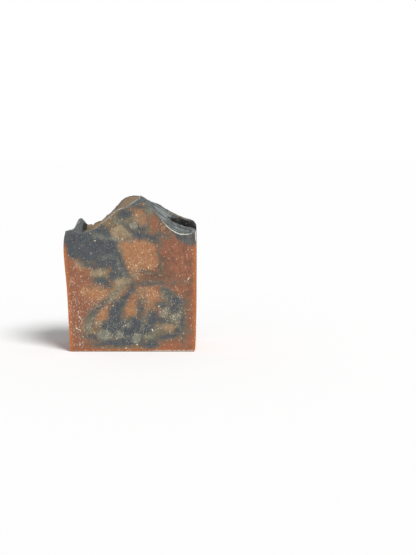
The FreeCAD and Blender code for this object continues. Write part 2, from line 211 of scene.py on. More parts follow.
# the marbling as the front cut face shows it, from the first pour to the last. Ovals are in mm: middle across
# and up, half width, half height and turn in degrees. The ovals of a layer run together.
marbleLayers = [
    {"colours": ("deepTerracotta", "terracotta"), "soft": 3.0, "ragged": 1.0, "patches": [
        (27.0, 43.0, 12.0, 18.0, 0), (33.0, 20.0, 4.0, 14.0, 0), (-23.0, 3.5, 13.0, 3.5, 0),
        (24.0, 4.0, 12.0, 3.5, 0),
    ]},
    {"colours": ("olive", "brown"), "soft": 2.2, "ragged": 1.6, "patches": [
        (1.0, 11.5, 22.0, 8.0, 0), (23.0, 20.0, 6.0, 10.0, 0), (-20.0, 16.0, 4.0, 8.5, -15),
        (19.5, 30.0, 4.0, 3.6, 0), (-7.0, 24.0, 5.0, 6.0, -35), (-3.0, 69.5, 11.0, 6.0, 12),
        (8.0, 65.0, 13.0, 4.0, 0), (9.0, 74.0, 7.0, 4.5, 0), (16.5, 68.0, 3.5, 4.5, -30),
        (-5.0, 41.0, 7.0, 3.0, 0), (-15.5, 40.0, 5.0, 3.6, 0), (5.0, 38.0, 8.0, 1.6, 0),
    ]},
    {"colours": ("brown", "deepTerracotta"), "soft": 2.0, "ragged": 1.4, "patches": [
        (9.0, 43.5, 6.5, 2.6, -8), (17.5, 46.5, 3.4, 6.0, 0), (14.0, 41.5, 8.0, 3.0, 0),
        (3.5, 38.5, 3.2, 1.6, -20), (18.0, 66.5, 3.4, 5.0, -42), (19.0, 63.0, 3.0, 1.6, -15),
        (30.5, 25.0, 1.2, 8.0, 0), (5.3, 23.0, 1.4, 3.4, 0),
    ]},
    {"colours": ("orange", "apricot"), "soft": 1.5, "ragged": 1.0, "patches": [
        (5.5, 52.8, 9.4, 7.4, 0), (2.2, 45.5, 3.0, 6.0, 25), (10.0, 48.5, 5.0, 4.0, 0),
        (0.0, 55.0, 5.4, 5.0, 10), (-17.5, 31.5, 6.5, 3.8, 5), (8.5, 31.0, 7.2, 4.4, 0),
        (0.5, 23.6, 3.2, 4.2, 0), (10.2, 25.4, 3.4, 3.0, -20), (-15.4, 19.6, 2.4, 5.2, -27),
        (-26.5, 46.0, 3.0, 1.5, -25), (-24.0, 33.0, 3.0, 3.0, 0),
    ]},
    {"colours": ("rust", "terracotta"), "soft": 0.9, "ragged": 0.7, "patches": [
        (23.0, 3.4, 8.5, 1.6, 10),
    ]},
    {"colours": ("tan", "paleTan"), "soft": 1.1, "ragged": 1.0, "patches": [
        (-5.0, 54.0, 0.8, 4.6, 12), (-4.2, 36.8, 5.0, 3.4, 30), (-16.2, 43.0, 5.0, 2.6, 0),
        (-25.8, 47.4, 3.2, 1.2, -25), (-9.0, 31.0, 4.2, 2.2, 40), (-17.6, 15.4, 1.8, 1.6, 0),
        (2.0, 41.5, 3.0, 1.6, 0),
    ]},
    {"colours": ("ochre", "tan"), "soft": 1.2, "ragged": 1.2, "patches": [
        (-11.8, 69.6, 3.6, 2.0, 45), (-8.0, 73.2, 2.5, 1.4, 45), (-16.5, 67.0, 3.4, 0.8, 14),
        (-20.8, 11.5, 2.2, 2.0, 0), (-4.0, 2.0, 9.0, 1.0, 0), (20.2, 13.2, 3.4, 2.0, -5),
    ]},
    {"colours": ("olive", "paleOlive"), "soft": 1.3, "ragged": 1.4, "patches": [
        (-4.5, 70.3, 5.0, 2.2, 0), (10.4, 76.0, 3.0, 2.0, -40), (8.6, 70.5, 0.7, 5.0, 0),
        (-0.8, 62.6, 3.4, 1.8, -15), (-3.5, 60.0, 4.5, 0.8, 0), (-8.5, 31.2, 3.6, 1.2, 40),
        (-21.5, 18.5, 1.6, 4.6, -25), (-22.8, 12.5, 1.6, 3.6, 0), (-16.5, 25.0, 4.0, 1.0, 38),
        (18.8, 31.5, 2.4, 3.4, 0), (25.0, 19.0, 3.4, 3.8, -10), (14.0, 12.2, 5.0, 1.7, 30),
        (10.5, 8.2, 3.8, 2.6, 10), (26.5, 12.5, 2.0, 4.0, 0), (-13.0, 27.5, 3.5, 1.0, 40),
    ]},
    {"colours": ("slate", "charcoal"), "soft": 1.2, "ragged": 1.2, "fringe": 0.6, "patches": [
        (-28.5, 55.5, 5.0, 5.0, -30), (-23.0, 58.5, 12.0, 8.0, 0), (-30.0, 60.8, 5.4, 5.2, 0),
        (-16.0, 57.0, 8.5, 10.5, 0), (-19.0, 51.0, 8.0, 5.6, 0), (-14.5, 50.0, 6.0, 5.0, 0),
        (-7.2, 48.0, 3.8, 10.0, 14), (-11.0, 56.0, 4.6, 8.0, 10), (-3.5, 43.0, 2.0, 4.0, 35),
        (-2.8, 73.8, 3.8, 2.2, 15), (5.8, 77.6, 2.4, 0.8, 0), (6.2, 67.0, 2.3, 2.2, 0),
        (0.2, 66.4, 3.4, 0.6, -30), (8.5, 62.6, 7.6, 1.6, 0), (12.5, 61.3, 3.0, 1.7, -10),
        (13.6, 59.6, 2.0, 1.2, -30), (2.0, 64.0, 1.5, 1.6, 0), (-15.2, 38.3, 3.6, 2.1, -10),
        (-12.3, 36.2, 1.5, 1.3, 0), (-9.0, 41.0, 2.0, 2.4, 0), (7.5, 36.6, 5.0, 0.35, 3),
        (-18.0, 23.2, 4.0, 0.7, 44), (-19.5, 7.6, 4.6, 1.0, -18), (0.4, 33.2, 1.0, 2.4, -30),
        (-1.8, 30.4, 1.4, 4.0, -42), (-5.5, 25.8, 2.1, 3.8, -38), (-8.0, 20.5, 3.2, 5.6, -12),
        (-9.3, 15.5, 3.4, 3.6, 0), (20.5, 31.8, 3.2, 1.1, -38), (24.5, 27.6, 4.4, 2.2, -20),
        (18.0, 25.6, 4.0, 1.1, 5), (23.5, 23.4, 3.0, 2.0, 0), (11.2, 18.0, 2.6, 4.4, -12),
        (16.5, 17.2, 4.6, 1.4, -8), (27.8, 14.5, 0.9, 5.0, 0), (4.2, 22.0, 0.5, 4.0, 0),
        (6.3, 23.0, 0.4, 3.0, -8), (-2.0, 12.0, 13.0, 4.6, 0), (-11.0, 14.0, 4.0, 3.0, 0),
        (-8.0, 4.8, 8.5, 1.8, 0), (0.0, 6.0, 7.0, 2.6, 0), (2.5, 15.5, 4.0, 3.0, 0),
        (10.4, 4.0, 3.8, 2.0, 10), (20.5, 8.4, 7.0, 1.2, 14), (24.8, 11.3, 2.2, 1.4, 20),
        (-13.5, 4.0, 4.0, 1.0, -6), (9.0, 12.5, 3.0, 2.5, 0),
    ]},
    {"colours": ("paleTan", "tan"), "soft": 1.2, "ragged": 1.4, "patches": [
        (-6.4, 65.0, 3.6, 3.2, 0), (-3.4, 63.2, 3.6, 1.6, -15), (-7.2, 62.6, 2.4, 1.6, 0),
        (-5.4, 38.0, 2.8, 2.2, 40), (20.2, 13.2, 3.0, 1.5, -5),
    ]},
    {"colours": ("tan", "orange"), "soft": 1.6, "ragged": 1.6, "patches": [
        (5.0, 73.4, 2.8, 2.6, 0), (7.2, 71.0, 2.8, 3.4, 0), (4.4, 71.0, 2.4, 2.0, 0),
        (17.8, 66.9, 1.2, 1.3, 0), (20.0, 13.4, 1.6, 0.6, -5),
    ]},
    {"colours": ("umber", "rust"), "soft": 1.2, "ragged": 1.2, "patches": [
        (12.0, 71.4, 1.8, 2.6, 15), (12.8, 68.0, 2.2, 4.2, 0), (12.6, 65.0, 2.0, 2.0, 0),
    ]},
    {"colours": ("brown", "olive"), "soft": 1.6, "ragged": 2.2, "patches": [
        (15.8, 46.0, 1.6, 4.6, 0), (9.5, 43.0, 4.6, 0.8, -6), (15.0, 53.5, 0.9, 3.0, 10),
        (-20.0, 47.8, 2.6, 0.5, -10),
    ]},
    {"colours": ("olive", "smoke"), "soft": 0.9, "ragged": 1.0, "patches": [
        (9.5, 71.5, 0.3, 4.2, 0), (4.0, 68.5, 1.4, 0.5, -30), (8.0, 67.6, 2.6, 0.4, 0),
    ]},
    {"colours": ("paleOlive", "sage"), "soft": 1.1, "ragged": 1.0, "patches": [
        (-8.6, 60.6, 1.8, 0.8, -10), (2.2, 68.0, 1.8, 1.9, 0), (18.0, 21.4, 2.1, 2.2, 0),
        (22.8, 18.2, 1.5, 1.4, 0), (-14.0, 8.8, 3.7, 2.7, 0), (-6.4, 9.4, 1.9, 1.9, 0),
        (-1.8, 14.6, 1.5, 1.2, 0), (3.0, 7.2, 2.1, 2.5, 0),
    ]},
    {"colours": ("smoke", "sage"), "soft": 1.2, "ragged": 1.4, "patches": [
        (-16.6, 62.4, 4.2, 1.7, -20), (-12.5, 51.5, 2.8, 0.9, 10), (-6.2, 46.5, 1.0, 3.4, 12),
        (-3.0, 42.0, 0.9, 2.4, 25), (7.3, 18.0, 0.6, 4.4, -12),
    ]},
    {"colours": ("cream", "cream"), "soft": 0.2, "ragged": 0.25, "patches": [
        (30.6, 39.3, 0.3, 1.2, -35), (-28.0, 12.2, 0.3, 1.4, 42), (-26.5, 17.5, 0.2, 1.4, 30),
        (11.3, 12.0, 0.45, 0.5, 0), (3.5, 3.8, 0.35, 0.35, 0), (28.0, 10.0, 0.35, 0.35, 0),
        (34.4, 12.0, 0.9, 0.3, 0), (-18.6, 60.0, 0.4, 0.3, 0), (-8.9, 25.0, 0.3, 0.4, 0),
        (15.4, 24.6, 0.4, 0.35, 0),
    ]},
]

# where the pale grains lie thickest, as ovals of the same kind
grainPatches = [
    (5.5, 47.0, 9.0, 4.0, 0), (-20.0, 30.0, 7.0, 6.0, 0), (-28.5, 22.0, 5.0, 19.0, 0),
    (8.0, 31.0, 6.0, 3.6, 0), (-11.0, 26.0, 6.0, 3.0, 40), (-3.0, 12.0, 13.0, 5.0, 0),
    (22.0, 24.0, 6.0, 8.0, 0),
]


ovalSet = {
    "depth": 60.0,  # mm, half the length of an oval along the loaf
    "join": 0.8,  # mm, over which neighbours run together
}

# node group: one oval of batter, as the distance to its edge in mm, below 0 inside
ovalGroup, ovalIn, ovalOut = newGroup(
    "batterOval",
    [
        ("Place", "NodeSocketVector", None), ("Middle", "NodeSocketVector", None),
        ("Half", "NodeSocketVector", None), ("Turn", "NodeSocketFloat", 0.0),
        ("Size", "NodeSocketFloat", 1.0),
    ],
    [("Gap", "NodeSocketFloat")],
)
fromMiddle = calcVector(ovalGroup, "SUBTRACT", ovalIn["Place"], ovalIn["Middle"])
turnValues = {"Vector": fromMiddle, "Angle": ovalIn["Turn"]}
turned = put(ovalGroup, "ShaderNodeVectorRotate", turnValues, rotation_type="Y_AXIS").outputs[0]
inHalves = calcVector(ovalGroup, "DIVIDE", turned, ovalIn["Half"])
reach = put(ovalGroup, "ShaderNodeVectorMath", {0: inHalves}, operation="LENGTH").outputs["Value"]
beyond = calc(ovalGroup, "SUBTRACT", reach, 1.0)
ovalGroup.links.new(calc(ovalGroup, "MULTIPLY", beyond, ovalIn["Size"]), ovalOut["Gap"])


def ovalsGap(tree, place, patches):
    # distance in mm to the nearest oval, with neighbours run together
    nearest = None
    for across, up, halfAcross, halfUp, turn in patches:
        gap = useGroup(tree, ovalGroup, {
            "Place": place, "Middle": (across, 0.0, up), "Half": (halfAcross, ovalSet["depth"], halfUp),
            "Turn": math.radians(turn), "Size": min(halfAcross, halfUp),
        })["Gap"]
        nearest = calc(tree, "SMOOTH_MIN", nearest, gap, ovalSet["join"]) if nearest else gap
    return nearest


swirlSet = {
    "fullDepth": 20.0,  # mm behind the front face, where the largest swirl is full
    "swirls": [(0.08, 7.0, 2.0), (0.28, 2.6, 3.0), (1.0, 1.8, 3.0)],  # scale per mm, reach in mm, detail
    "roughness": 0.6,
}

# node group: the swirls that the pour gave the batter, as a moved place in mm. The largest grows with depth.
warpGroup, warpIn, warpOut = newGroup(
    "pouredSwirl",
    [("Amount", "NodeSocketFloat", 1.0)],
    [("Place", "NodeSocketVector"), ("Plain", "NodeSocketVector")],
)
movedPlace = scaleVector(warpGroup, put(warpGroup, "ShaderNodeTexCoord").outputs["Object"], 1 / mm)
warpGroup.links.new(movedPlace, warpOut["Plain"])
alongY = put(warpGroup, "ShaderNodeSeparateXYZ", {0: movedPlace}).outputs[1]
deep = ramp(warpGroup, calc(warpGroup, "SUBTRACT", alongY, frontY), 0.0, swirlSet["fullDepth"])
for number, (scale, reachMm, detail) in enumerate(swirlSet["swirls"]):
    values = {"Vector": movedPlace, "Scale": scale, "Detail": detail, "Roughness": swirlSet["roughness"]}
    drift = put(warpGroup, "ShaderNodeTexNoise", values).outputs["Color"]
    centred = calcVector(warpGroup, "SUBTRACT", drift, (0.5, 0.5, 0.5))
    strength = calc(warpGroup, "MULTIPLY", warpIn["Amount"] if number else deep, reachMm)
    movedPlace = calcVector(warpGroup, "ADD", movedPlace, scaleVector(warpGroup, centred, strength))
warpGroup.links.new(movedPlace, warpOut["Place"])


grainSet = {
    "wander": 0.7,  # mm, how far a grain's edge strays
    "slant": (0, 0.5, 0),
    "stretch": (1, 1, 0.7),  # below 1 makes a grain taller
    "sizes": (0.5, 1.3),  # the smallest and the largest share of Size
    "core": 0.6,  # share of a grain that is full
}

# node group: pale grains in the soap, as a mask
grainGroup, grainIn, grainOut = newGroup(
    "paleGrains",
    [
        ("Place", "NodeSocketVector", None), ("Cells", "NodeSocketFloat", 0.6),
        ("Share", "NodeSocketFloat", 0.4), ("Size", "NodeSocketFloat", 0.2),
    ],
    [("Mask", "NodeSocketFloat")],
)
wanderValues = {"Vector": grainIn["Place"], "Scale": 2.5, "Detail": 2.0}
wander = put(grainGroup, "ShaderNodeTexNoise", wanderValues).outputs["Color"]
wander = calcVector(grainGroup, "MULTIPLY", wander, (grainSet["wander"],) * 3)
slantValues = {"Vector": grainIn["Place"], "Rotation": grainSet["slant"], "Scale": grainSet["stretch"]}
slanted = put(grainGroup, "ShaderNodeMapping", slantValues).outputs[0]
slanted = calcVector(grainGroup, "ADD", slanted, wander)
cellValues = {"Vector": slanted, "Scale": grainIn["Cells"], "Randomness": 1.0}
grainCells = put(grainGroup, "ShaderNodeTexVoronoi", cellValues, voronoi_dimensions="3D").outputs
pick = put(grainGroup, "ShaderNodeSeparateColor", {0: grainCells["Color"]}).outputs
sizeShare = ramp(grainGroup, pick[1], 0.0, 1.0, *grainSet["sizes"], False)
grainSize = calc(grainGroup, "MULTIPLY", grainIn["Size"], sizeShare)
grainCore = calc(grainGroup, "MULTIPLY", grainSize, grainSet["core"])
spot = ramp(grainGroup, grainCells["Distance"], grainSize, grainCore)
chosen = calc(grainGroup, "LESS_THAN", pick[0], grainIn["Share"])
grainGroup.links.new(calc(grainGroup, "MULTIPLY", spot, chosen), grainOut["Mask"])


marbleSet = {
    "drift": (0.28, -0.16),  # mm across and up for each mm along the loaf
    "evenShare": 0.45,  # how far the ground goes back to plain terracotta
    "fringe": (2.6, 0.2),  # mm, from where to where a dark layer tints what lies around it
    "paleCloud": 0.45,
    "darkCloud": 0.5,
    "haze": 0.45,
    "dust": (0.7, 1.32),  # darkest and lightest share
    "fineGrains": {"Cells": 1.4, "Size": 0.38},
    "fineShare": (0.5, 0.14),  # more in the rich places, and everywhere
    "fineStrength": 0.7,
    "largeGrains": {"Cells": 0.75, "Size": 0.27},
    "largeShare": (0.34, 0.07),
}

# node group: the marbled inside of the soap
marbleGroup, marbleIn, marbleOut = newGroup(
    "marbledBatter",
    [("Rind", "NodeSocketFloat", 0.0), ("Skin", "NodeSocketFloat", 0.0)],
    [("Color", "NodeSocketColor"), ("Grains", "NodeSocketFloat"), ("Cloud", "NodeSocketFloat")],
)
swirl = useGroup(marbleGroup, warpGroup, {"Amount": 1.0})
plain = swirl["Plain"]
inLoaf = put(marbleGroup, "ShaderNodeSeparateXYZ", {0: swirl["Place"]}).outputs
fromFront = calc(marbleGroup, "SUBTRACT", inLoaf[1], frontY)
driftAcross, driftUp = marbleSet["drift"]
drifted = put(marbleGroup, "ShaderNodeCombineXYZ", {
    0: calc(marbleGroup, "MULTIPLY_ADD", fromFront, driftAcross, inLoaf[0]),
    2: calc(marbleGroup, "MULTIPLY_ADD", fromFront, driftUp, inLoaf[2]),
}).outputs[0]

fineRag = speckle(marbleGroup, plain, 1.5, 3.0, 0.75)
coarseRag = speckle(marbleGroup, plain, 0.45, 2.0, 0.5)
ragged = calc(marbleGroup, "MULTIPLY_ADD", fineRag, 3.2, -3.1)
ragged = calc(marbleGroup, "MULTIPLY_ADD", coarseRag, 3.0, ragged)  # in mm, about -1 to 1
mottle = ramp(marbleGroup, speckle(marbleGroup, plain, 0.3, 4.0, 0.65, 0.6), 0.38, 0.62)
soapColour = blendColour(marbleGroup, mottle, batter["terracotta"], batter["deepTerracotta"])
soapColour = blendColour(marbleGroup, marbleSet["evenShare"], soapColour, batter["terracotta"])
for layer in marbleLayers:
    gap = ovalsGap(marbleGroup, drifted, layer["patches"])
    gap = calc(marbleGroup, "MULTIPLY_ADD", ragged, layer["ragged"], gap)
    if "fringe" in layer:
        around = ramp(marbleGroup, gap, *marbleSet["fringe"], 0.0, layer["fringe"])
        soapColour = blendColour(marbleGroup, around, soapColour, batter["olive"])
    first, second = layer["colours"]
    layerColour = blendColour(marbleGroup, mottle, batter[first], batter[second])
    inside = ramp(marbleGroup, gap, layer["soft"], -layer["soft"])
    soapColour = blendColour(marbleGroup, inside, soapColour, layerColour)

cloud = speckle(marbleGroup, plain, 0.6, 5.0, 0.75, 0.4)
paleCloud = ramp(marbleGroup, cloud, 0.52, 0.8, 0.0, marbleSet["paleCloud"])
soapColour = blendColour(marbleGroup, paleCloud, soapColour, batter["paleOlive"])
darkCloud = ramp(marbleGroup, cloud, 0.47, 0.2, 0.0, marbleSet["darkCloud"])
soapColour = blendColour(marbleGroup, darkCloud, soapColour, batter["char"])
skinTint = blendColour(marbleGroup, mottle, batter["soot"], batter["steel"])
soapColour = blendColour(marbleGroup, marbleIn["Skin"], soapColour, skinTint)
soapColour = blendColour(marbleGroup, marbleIn["Rind"], soapColour, batter["rind"])

# pale haze on the dark soap alone, then dust all over
lightness = put(marbleGroup, "ShaderNodeRGBToBW", {0: soapColour}).outputs[0]
haze = ramp(marbleGroup, speckle(marbleGroup, plain, 1.7, 3.0, 0.75), 0.5, 0.68, 0.0, marbleSet["haze"])
haze = calc(marbleGroup, "MULTIPLY", haze, ramp(marbleGroup, lightness, 0.14, 0.07))
soapColour = blendColour(marbleGroup, haze, soapColour, batter["paleSteel"])
dust = ramp(marbleGroup, speckle(marbleGroup, plain, 2.4, 3.0, 0.85), 0.3, 0.7, *marbleSet["dust"], False)
soapColour = blendColour(marbleGroup, 1.0, soapColour, dust, "MULTIPLY")

# grains, weaker on the dark soap and under the skin
rich = ramp(marbleGroup, ovalsGap(marbleGroup, drifted, grainPatches), 3.0, -2.0)
fineShare = calc(marbleGroup, "MULTIPLY_ADD", rich, *marbleSet["fineShare"])
fineValues = {"Place": plain, "Share": fineShare, **marbleSet["fineGrains"]}
fineGrains = useGroup(marbleGroup, grainGroup, fineValues)["Mask"]
fineGrains = calc(marbleGroup, "MULTIPLY", fineGrains, marbleSet["fineStrength"])
largeShare = calc(marbleGroup, "MULTIPLY_ADD", rich, *marbleSet["largeShare"])
largeValues = {"Place": plain, "Share": largeShare, **marbleSet["largeGrains"]}
grains = calc(marbleGroup, "MAXIMUM", fineGrains, useGroup(marbleGroup, grainGroup, largeValues)["Mask"])
grainStrength = calc(marbleGroup, "MULTIPLY", grains, ramp(marbleGroup, lightness, 0.07, 0.16, 0.38, 0.9))
underSkin = ramp(marbleGroup, marbleIn["Skin"], 0.0, 0.8, 1.0, 0.2)
grainStrength = calc(marbleGroup, "MULTIPLY", grainStrength, underSkin)
soapColour = blendColour(marbleGroup, grainStrength, soapColour, batter["cream"])
marbleGroup.links.new(soapColour, marbleOut["Color"])
marbleGroup.links.new(grains, marbleOut["Grains"])
marbleGroup.links.new(cloud, marbleOut["Cloud"])


def skinMask(tree, grit):
    # the dark skin where it reaches down from the top, with a broken edge
    edge = brokenEdge(tree, attribute(tree, "underSkin")["Fac"], grit, 1.4, -0.7)
    return ramp(tree, edge, 0.3, 0.7, 0.0, 0.92)


# light goes a little way into the bare soap
soapIor = 1.46
soapGlow = {"Subsurface Weight": 0.1, "Subsurface Scale": 1.0 * mm, "Subsurface Radius": (1.0, 0.5, 0.3)}

# material: the cut faces, wiped by the blade
cutSet = {
    "shader": {"IOR": soapIor, "Specular IOR Level": 0.35, **soapGlow},
    "bladeMarks": (3.5, 1.0, 0.08),  # noise scale across, back and up, so they run upwards
    "baseShadeStrength": 0.8,
    "bump": (0.5, 0.12 * mm),  # strength and distance
}
cutMaterial, tree, shader = newMaterial("soapCutFace", cutSet["shader"])
plain = useGroup(tree, warpGroup, {})["Plain"]
breakUp = speckle(tree, plain, 1.6, 3.0, 0.7)
rind = calc(tree, "MULTIPLY", attribute(tree, "nearEdge")["Fac"], ramp(tree, breakUp, 0.3, 0.6, 0.6, 0.95))
marble = useGroup(tree, marbleGroup, {"Rind": rind, "Skin": skinMask(tree, breakUp)})
# pale burr along the base, and pale burr with painted highlight under the rim and down the upper right corner
burrAndHighlight = brokenEdge(tree, attribute(tree, "burrAndHighlight")["Fac"], breakUp, 1.8, -1.0)
faceColour = blendColour(tree, ramp(tree, burrAndHighlight, 0.4, 0.8, 0.0, 0.85), marble["Color"], batter["bone"])
# painted shade: the lowest half mm of the cut faces darkens to soot
baseShade = calc(tree, "MULTIPLY", attribute(tree, "baseShade")["Fac"], cutSet["baseShadeStrength"])
faceColour = blendColour(tree, baseShade, faceColour, batter["soot"])
tree.links.new(faceColour, shader.inputs["Base Color"])
tree.links.new(ramp(tree, marble["Cloud"], 0.3, 0.7, 0.62, 0.46), shader.inputs["Roughness"])
markValues = {"Vector": plain, "Scale": cutSet["bladeMarks"]}
bladeMarks = speckle(tree, put(tree, "ShaderNodeMapping", markValues).outputs[0], 1.0, 3.0)
faceHeight = calc(tree, "MULTIPLY_ADD", bladeMarks, 0.5, speckle(tree, plain, 1.6, 4.0, 0.7))
faceHeight = calc(tree, "MULTIPLY_ADD", marble["Grains"], 0.5, faceHeight)
addBump(tree, shader, faceHeight, *cutSet["bump"])

# material: the worked top, with the skin that it grew while it set
skinSet = {
    "shader": {"IOR": soapIor, "Specular IOR Level": 0.5},
    "grains": {"Cells": 0.6, "Share": 0.3, "Size": 0.2},
    "grainStrength": 0.4,
    "bump": (0.7, 0.22 * mm),
}
skinMaterial, tree, shader = newMaterial("soapTopSkin", skinSet["shader"])
plain = useGroup(tree, warpGroup, {})["Plain"]
flow = attribute(tree, "flow")["Vector"]


def flowStreaks(location, scale, *detail):
    # streaks that run along the folds
    values = {"Vector": flow, "Location": location, "Scale": scale}
    return speckle(tree, put(tree, "ShaderNodeMapping", values).outputs[0], 1.0, *detail)


streak = flowStreaks((0.0, 0.0, 0.0), (0.10, 0.9, 0.3), 4.0, 0.65, 0.6)
otherStreak = flowStreaks((31.0, 17.0, 5.0), (0.08, 0.6, 0.3), 4.0, 0.65, 0.8)
thinStreak = flowStreaks((7.0, 43.0, 11.0), (0.07, 2.4, 0.3), 3.0, 0.6, 0.4)
grit = speckle(tree, plain, 1.7, 4.0, 0.75)
skinColour = blendColour(tree, ramp(tree, streak, 0.36, 0.62), batter["soot"], batter["steel"])
skinColour = blendColour(tree, ramp(tree, otherStreak, 0.55, 0.7, 0.0, 0.6), skinColour, batter["olive"])
warmColour = blendColour(tree, ramp(tree, grit, 0.35, 0.65), batter["honey"], batter["tan"])
warmColour = blendColour(tree, ramp(tree, streak, 0.5, 0.66, 0.0, 0.8), warmColour, batter["orange"])
warm = brokenEdge(tree, attribute(tree, "warm")["Fac"], otherStreak, 1.6, -0.8)
skinColour = blendColour(tree, ramp(tree, warm, 0.3, 0.7, 0.0, 0.9), skinColour, warmColour)
# painted highlight: the lips of the folds, the right slope and the right rim lighten to pale steel and frost;
# on the fin's left side the same tint makes a pale patch
paleAndHighlight = brokenEdge(tree, attribute(tree, "paleAndHighlight")["Fac"], streak, 1.2, -0.6)
skinColour = blendColour(tree, ramp(tree, paleAndHighlight, 0.35, 0.85, 0.0, 0.9), skinColour, batter["paleSteel"])
skinColour = blendColour(tree, ramp(tree, paleAndHighlight, 0.95, 1.5, 0.0, 0.9), skinColour, batter["frostAndHighlight"])
skinColour = blendColour(tree, ramp(tree, thinStreak, 0.53, 0.63, 0.0, 0.65), skinColour, batter["paleSteel"])
skinColour = blendColour(tree, ramp(tree, thinStreak, 0.47, 0.37, 0.0, 0.75), skinColour, batter["char"])
# the rim line of the top: pale burr with painted highlight
burrAndHighlight = brokenEdge(tree, attribute(tree, "burrAndHighlight")["Fac"], grit, 1.2, -0.6)
skinColour = blendColour(tree, ramp(tree, burrAndHighlight, 0.4, 0.7, 0.0, 0.9), skinColour, batter["bone"])
# painted shade: the hollow, the creases, the steep sides of the lips and the far edge of the left flank go
# near black
paintedShade = brokenEdge(tree, attribute(tree, "paintedShade")["Fac"], grit, 0.6, -0.3)
skinColour = blendColour(tree, ramp(tree, paintedShade, 0.3, 0.7, 0.0, 0.95), skinColour, batter["shadeBlack"])
skinColour = blendColour(tree, 1.0, skinColour, ramp(tree, grit, 0.3, 0.7, 0.75, 1.25, False), "MULTIPLY")
grains = useGroup(tree, grainGroup, {"Place": plain, **skinSet["grains"]})["Mask"]
grains = calc(tree, "MULTIPLY", grains, skinSet["grainStrength"])
skinColour = blendColour(tree, grains, skinColour, batter["cream"])
tree.links.new(skinColour, shader.inputs["Base Color"])
tree.links.new(ramp(tree, streak, 0.3, 0.7, 0.5, 0.34), shader.inputs["Roughness"])
ripple = calc(tree, "MULTIPLY_ADD", thinStreak, 0.8, calc(tree, "MULTIPLY_ADD", streak, 1.6, grit))
addBump(tree, shader, ripple, *skinSet["bump"])

# material: the sides and the base, smooth from the mould
mouldSet = {
    "shader": {"IOR": soapIor, "Specular IOR Level": 0.45, **soapGlow},
    "rind": (0.85, 0.15),  # thick and thin
    "ash": 0.3,
    "pits": {"Cells": 0.35, "Share": 0.3, "Size": 0.22},
    "bump": (0.4, 0.2 * mm),
}
mouldMaterial, tree, shader = newMaterial("soapMouldSide", mouldSet["shader"])
plain = useGroup(tree, warpGroup, {})["Plain"]
film = speckle(tree, plain, 0.12, 4.0, 0.6, 0.8)
skin = skinMask(tree, speckle(tree, plain, 0.7, 4.0, 0.75))
rind = ramp(tree, film, 0.36, 0.62, *mouldSet["rind"])
rind = calc(tree, "MULTIPLY", rind, calc(tree, "SUBTRACT", 1.0, skin))
marble = useGroup(tree, marbleGroup, {"Rind": rind, "Skin": skin})
ash = ramp(tree, speckle(tree, plain, 0.35, 5.0, 0.7), 0.5, 0.8, 0.0, mouldSet["ash"])
sideColour = blendColour(tree, ash, marble["Color"], batter["paleTan"])
tree.links.new(sideColour, shader.inputs["Base Color"])
tree.links.new(ramp(tree, film, 0.3, 0.7, 0.36, 0.55), shader.inputs["Roughness"])
pits = useGroup(tree, grainGroup, {"Place": plain, **mouldSet["pits"]})["Mask"]
sideHeight = calc(tree, "MULTIPLY_ADD", pits, -0.8, speckle(tree, plain, 0.8, 4.0, 0.6))
addBump(tree, shader, sideHeight, *mouldSet["bump"])
print("materials made")


# the bar: a block cut fine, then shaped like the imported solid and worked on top
barSet = {
    "rows": (280, 112, 60),  # faces across, back and up
    "crowd": (0.4, 0.3, 0.9),  # how much closer the rows lie near the edges
    "firstCuts": 3,
    "topLeft": -33.75,  # mm, where the top meets the sides
    "topRight": 34.78,
    "sideTop": 61.5,  # mm, the height from which the sides turn in to the top
    "profileSteps": 120,  # heights at which the sides are read
    "readInset": 0.02,  # mm in from its edges, where the top is read
    "lowestRead": 0.05,
    "smoothAngle": 50,  # degrees
}

# what the working left on the top, in mm
topSet = {
    "stray": 0.9,  # how far the folds stray from their paths
    "lumps": 0.22,
    "lines": 0.11,  # fine ones along the folds
    "rimJag": 0.22,
    "belowPeak": 0.02,  # how far the top stays below the solid's highest point
    "crestPath": [(-2.5, -14.0), (0.6, -8.0), (2.2, 0.0), (3.9, 7.0), (3.9, 14.0)],
    "skinDepth": 0.4,  # how deep the dark skin reaches down the cut faces
    "skinRight": (5.9, 20.0, 31.0),  # how much deeper at the right, and from where to where it grows
    "skinLeft": (4.5, -29.0, -33.0),
    "skinLevel": 64.0,  # the height that the skin's lower edge keeps to where the top is lower
}

# what all lips of the folds share, in mm
lipSet = {
    "endShare": 0.15,  # share of a path over which its lip fades
    "uneven": 0.35,  # how much a lip comes and goes
    "leanReach": 0.7,
    # painted highlight along the gentle side of each lip
    "highlightLine": (0.15, 0.35),  # middle and width, on the gentle side
    # painted shade along the steep side of each lip
    "creviceShadeLine": (-0.6, 0.4),  # on the steep side
    "creviceShadeStrength": 0.55,
    "flowReach": 3.5,  # how far a fold turns the streaks
    "flowBase": 0.02,  # weight of the flow straight across, far from every fold
    "cutFace": 13.0,  # a lip that starts or ends beyond this reaches the cut face unfaded
    "mouldSide": 34.0,
    "mouldFade": 0.7,
}
